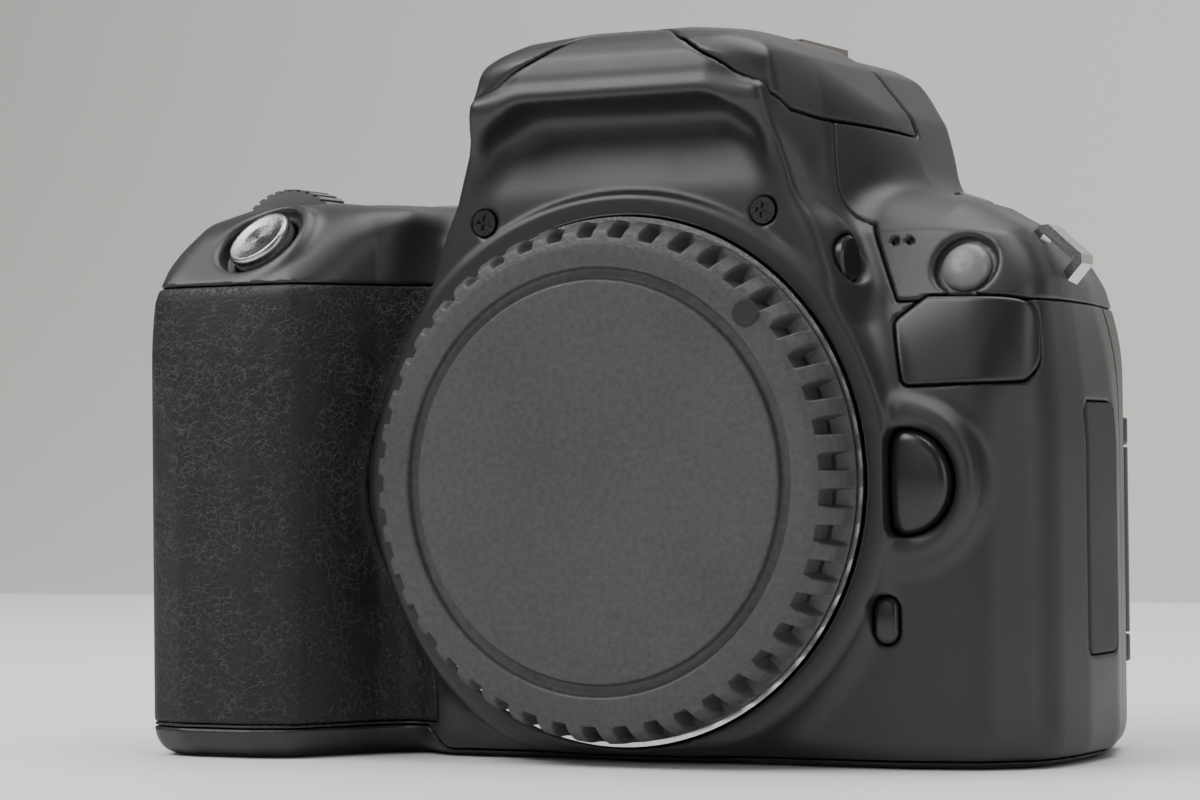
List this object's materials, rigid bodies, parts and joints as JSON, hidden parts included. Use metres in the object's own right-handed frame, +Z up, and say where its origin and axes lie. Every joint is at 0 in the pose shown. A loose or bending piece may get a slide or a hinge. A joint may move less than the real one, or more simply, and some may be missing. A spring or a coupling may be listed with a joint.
{
  "type": "digital single-lens reflex camera",
  "caption": "Compact interchangeable-lens reflex camera body with capped bayonet mount, pop-up flash, side-hinged rear screen, moulded grip and working controls.",
  "frame": {"origin": "centre of the tripod socket's mouth, on the base plane, directly below the optical axis", "axes": "+X to the viewer's right as seen from the front, +Y from the lens mount towards the back, +Z up"},
  "size_m": [0.1228, 0.0693, 0.0939],
  "materials": {
    "body_plastic": "fine satin grain",
    "rubber": "wrinkled leather grain",
    "cap_plastic": "coarse spark-eroded grain",
    "button_plastic": "satin gloss",
    "steel": "brushed",
    "chrome": "polished",
    "aluminium": "turned",
    "black_screw": "blackened",
    "lamp": "frosted",
    "glass": "clear",
    "screen_glass": "gloss",
    "mirror": "front-silvered",
    "board": "solder mask",
    "sensor": "coated glass",
    "card": "satin"
  },
  "bodies": {
    "camera_body": {"front_cover": "body_plastic", "top_cover": "body_plastic", "rear_cover": "body_plastic", "base_cover": "body_plastic", "grip_rubber": "rubber", "thumb_rubber": "rubber", "mount_ring": "steel", "mirror_box": "body_plastic", "chassis": "steel", "pentamirror": "body_plastic", "focusing_screen": "glass", "eyepiece_lens": "glass", "image_sensor": "sensor", "main_board": "board", "shutter_frame": "body_plastic", "battery": "body_plastic", "sd_card": "card", "hot_shoe": "steel", "strap_lugs": "chrome", "name_plate": "button_plastic", "af_lamp": "lamp", "body_screws": "black_screw"},
    "body_cap": {"body_cap": "cap_plastic"},
    "release_button": {"release_button": "button_plastic"},
    "lock_pin": {"lock_pin": "steel"},
    "preview_button": {"preview_button": "button_plastic"},
    "flash_button": {"flash_button": "button_plastic"},
    "flash": {"flash_head": "body_plastic", "flash_window": "glass"},
    "shutter_button": {"shutter_button": "aluminium"},
    "main_dial": {"main_dial": "body_plastic"},
    "mode_dial": {"mode_dial": "body_plastic"},
    "power_lever": {"power_lever": "body_plastic"},
    "iso_button": {"iso_button": "button_plastic"},
    "display_button": {"display_button": "button_plastic"},
    "wifi_button": {"wifi_button": "button_plastic"},
    "diopter_dial": {"diopter_dial": "body_plastic"},
    "menu_button": {"menu_button": "button_plastic"},
    "info_button": {"info_button": "button_plastic"},
    "live_view_button": {"live_view_button": "button_plastic"},
    "exposure_button": {"exposure_button": "button_plastic"},
    "playback_button": {"playback_button": "button_plastic"},
    "erase_button": {"erase_button": "button_plastic"},
    "ae_lock_button": {"ae_lock_button": "button_plastic"},
    "af_point_button": {"af_point_button": "button_plastic"},
    "up_key": {"up_key": "button_plastic"},
    "down_key": {"down_key": "button_plastic"},
    "left_key": {"left_key": "button_plastic"},
    "right_key": {"right_key": "button_plastic"},
    "set_button": {"set_button": "button_plastic"},
    "screen": {"lcd_arm": "body_plastic", "lcd_panel": "body_plastic", "lcd_glass": "screen_glass"},
    "battery_door": {"battery_door": "body_plastic"},
    "side_port_cover": {"side_port_cover": "rubber"},
    "grip_port_cover": {"grip_port_cover": "rubber"},
    "mirror": {"mirror": "mirror"},
    "sub_mirror": {"sub_mirror": "mirror"},
    "eyecup": {"eyecup": "rubber"},
    "shutter_curtain": {"shutter_curtain": "body_plastic"}
  },
  "joints": [
    {"name": "shutter_press", "type": "slide", "parent": "camera_body", "child": "shutter_button", "axis": [0.2079, 0.7036, -0.6795], "range_m": [0, 0.0012], "stiffness_N_per_m": 250},
    {"name": "release_press", "type": "slide", "parent": "camera_body", "child": "release_button", "axis": [0, 1, 0], "range_m": [0, 0.0014], "stiffness_N_per_m": 300},
    {"name": "lock_pin_retract", "type": "slide", "parent": "camera_body", "child": "lock_pin", "axis": [0, 1, 0], "range_m": [0, 0.0014]},
    {"name": "preview_press", "type": "slide", "parent": "camera_body", "child": "preview_button", "axis": [0, 1, 0], "range_m": [0, 0.0006], "stiffness_N_per_m": 150},
    {"name": "flash_button_press", "type": "slide", "parent": "camera_body", "child": "flash_button", "axis": [-1, 0, 0], "range_m": [0, 0.0005], "stiffness_N_per_m": 150},
    {"name": "flash_raise", "type": "hinge", "parent": "camera_body", "child": "flash", "pos_m": [0, 0.0042, 0.0916], "axis": [-1, 0, 0], "range_deg": [0, 70]},
    {"name": "main_dial_turn", "type": "hinge", "parent": "camera_body", "child": "main_dial", "pos_m": [-0.0562, -0.014, 0.0664], "axis": [0, 1, 0], "continuous": true},
    {"name": "mode_dial_turn", "type": "hinge", "parent": "camera_body", "child": "mode_dial", "pos_m": [-0.039, 0.004, 0.068], "axis": [0, 0, 1], "continuous": true},
    {"name": "power_switch", "type": "hinge", "parent": "camera_body", "child": "power_lever", "pos_m": [-0.039, 0.004, 0.067], "axis": [0, 0, -1], "range_deg": [0, 40]},
    {"name": "iso_press", "type": "slide", "parent": "camera_body", "child": "iso_button", "axis": [0, 0, -1], "range_m": [0, 0.0005], "stiffness_N_per_m": 150},
    {"name": "display_press", "type": "slide", "parent": "camera_body", "child": "display_button", "axis": [0, 0, -1], "range_m": [0, 0.0005], "stiffness_N_per_m": 150},
    {"name": "wifi_press", "type": "slide", "parent": "camera_body", "child": "wifi_button", "axis": [-0.342, 0, -0.9397], "range_m": [0, 0.0005], "stiffness_N_per_m": 150},
    {"name": "diopter_turn", "type": "hinge", "parent": "camera_body", "child": "diopter_dial", "pos_m": [-0.0204, 0.022, 0.079], "axis": [0, 1, 0], "range_deg": [-130, 130]},
    {"name": "menu_press", "type": "slide", "parent": "camera_body", "child": "menu_button", "axis": [0, -1, 0], "range_m": [0, 0.0005], "stiffness_N_per_m": 150},
    {"name": "info_press", "type": "slide", "parent": "camera_body", "child": "info_button", "axis": [0, -1, 0], "range_m": [0, 0.0005], "stiffness_N_per_m": 150},
    {"name": "live_view_press", "type": "slide", "parent": "camera_body", "child": "live_view_button", "axis": [0, -1, 0], "range_m": [0, 0.0005], "stiffness_N_per_m": 150},
    {"name": "exposure_press", "type": "slide", "parent": "camera_body", "child": "exposure_button", "axis": [0, -1, 0], "range_m": [0, 0.0005], "stiffness_N_per_m": 150},
    {"name": "playback_press", "type": "slide", "parent": "camera_body", "child": "playback_button", "axis": [0, -1, 0], "range_m": [0, 0.0005], "stiffness_N_per_m": 150},
    {"name": "erase_press", "type": "slide", "parent": "camera_body", "child": "erase_button", "axis": [0, -1, 0], "range_m": [0, 0.0005], "stiffness_N_per_m": 150},
    {"name": "ae_lock_press", "type": "slide", "parent": "camera_body", "child": "ae_lock_button", "axis": [0, -1, 0], "range_m": [0, 0.0005], "stiffness_N_per_m": 150},
    {"name": "af_point_press", "type": "slide", "parent": "camera_body", "child": "af_point_button", "axis": [0, -1, 0], "range_m": [0, 0.0005], "stiffness_N_per_m": 150},
    {"name": "up_press", "type": "slide", "parent": "camera_body", "child": "up_key", "axis": [0, -1, 0], "range_m": [0, 0.0004], "stiffness_N_per_m": 150},
    {"name": "down_press", "type": "slide", "parent": "camera_body", "child": "down_key", "axis": [0, -1, 0], "range_m": [0, 0.0004], "stiffness_N_per_m": 150},
    {"name": "left_press", "type": "slide", "parent": "camera_body", "child": "left_key", "axis": [0, -1, 0], "range_m": [0, 0.0004], "stiffness_N_per_m": 150},
    {"name": "right_press", "type": "slide", "parent": "camera_body", "child": "right_key", "axis": [0, -1, 0], "range_m": [0, 0.0004], "stiffness_N_per_m": 150},
    {"name": "set_press", "type": "slide", "parent": "camera_body", "child": "set_button", "axis": [0, -1, 0], "range_m": [0, 0.0005], "stiffness_N_per_m": 150},
    {"name": "screen_open", "type": "hinge", "parent": "camera_body", "child": "screen", "pos_m": [0.0462, 0.0209, 0.027], "axis": [0, 0, -1], "range_deg": [0, 175]},
    {"name": "battery_door_open", "type": "hinge", "parent": "camera_body", "child": "battery_door", "pos_m": [-0.0306, -0.005, 0.0013], "axis": [0, -1, 0], "range_deg": [0, 100]},
    {"name": "side_port_open", "type": "hinge", "parent": "camera_body", "child": "side_port_cover", "pos_m": [0.054, 0.0012, 0.029], "axis": [0, 0, 1], "range_deg": [0, 110]},
    {"name": "grip_port_open", "type": "hinge", "parent": "camera_body", "child": "grip_port_cover", "pos_m": [-0.0664, 0.0085, 0.029], "axis": [0, 0, 1], "range_deg": [0, 110]},
    {"name": "mirror_flip", "type": "hinge", "parent": "camera_body", "child": "mirror", "pos_m": [0, 0.0015, 0.046], "axis": [-1, 0, 0], "range_deg": [0, 45], "stiffness_Nm_per_rad": 0.002},
    {"name": "sub_mirror_fold", "type": "hinge", "parent": "mirror", "child": "sub_mirror", "pos_m": [0, -0.00585, 0.03497], "axis": [-1, 0, 0], "range_deg": [0, 84]},
    {"name": "eyecup_lift", "type": "slide", "parent": "camera_body", "child": "eyecup", "axis": [0, 0, 1], "range_m": [0, 0.022]},
    {"name": "shutter_run", "type": "slide", "parent": "camera_body", "child": "shutter_curtain", "axis": [0, 0, -1], "range_m": [0, 0.0165]},
    {"name": "cap_twist", "type": "hinge", "parent": "camera_body", "child": "body_cap", "pos_m": [0, -0.03, 0.0353], "axis": [0, -1, 0], "range_deg": [0, 60]}
  ],
  "couplings": [
    {"joint": "lock_pin_retract", "follows": "release_press", "ratio": 1},
    {"joint": "sub_mirror_fold", "follows": "mirror_flip", "ratio": 1.8667}
  ]
}
